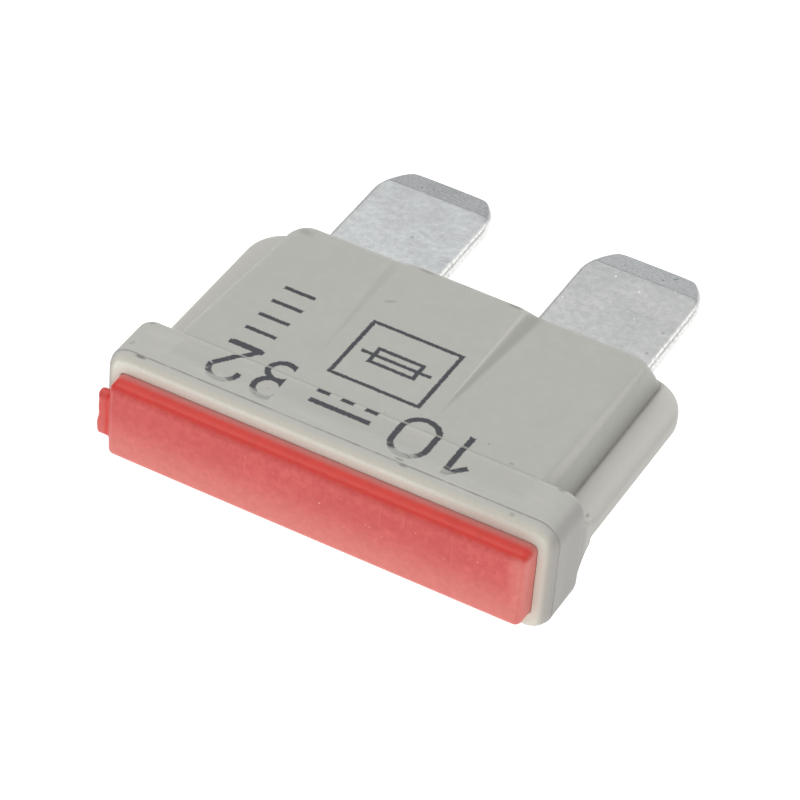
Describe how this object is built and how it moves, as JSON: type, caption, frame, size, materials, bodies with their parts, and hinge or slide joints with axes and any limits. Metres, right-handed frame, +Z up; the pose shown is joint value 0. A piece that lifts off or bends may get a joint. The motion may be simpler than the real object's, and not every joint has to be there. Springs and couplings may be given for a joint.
{
  "type": "automotive blade fuse",
  "caption": "Plug-in blade fuse: a flat moulded plastic housing with a coloured end cap, flat tinned contact blades and a fusible link inside that melts on overload.",
  "frame": {"origin": "centre of the bounding box at its lowest face, where the collar's broad face rests on the table", "axes": "+X across the fuse, +Y from the coloured end cap to the blade tips, +Z up, out of the printed broad face"},
  "size_m": [0.019, 0.0198, 0.0051],
  "materials": {
    "housing_plastic": "fine matt moulded surface, warm light grey",
    "cap_plastic": "glossy, slightly translucent red",
    "plated_metal": "bright tinned zinc with fine scratches"
  },
  "bodies": {
    "root": {"housing": "housing_plastic", "end_cap": "cap_plastic", "fuse_element": "plated_metal"}
  },
  "joints": []
}
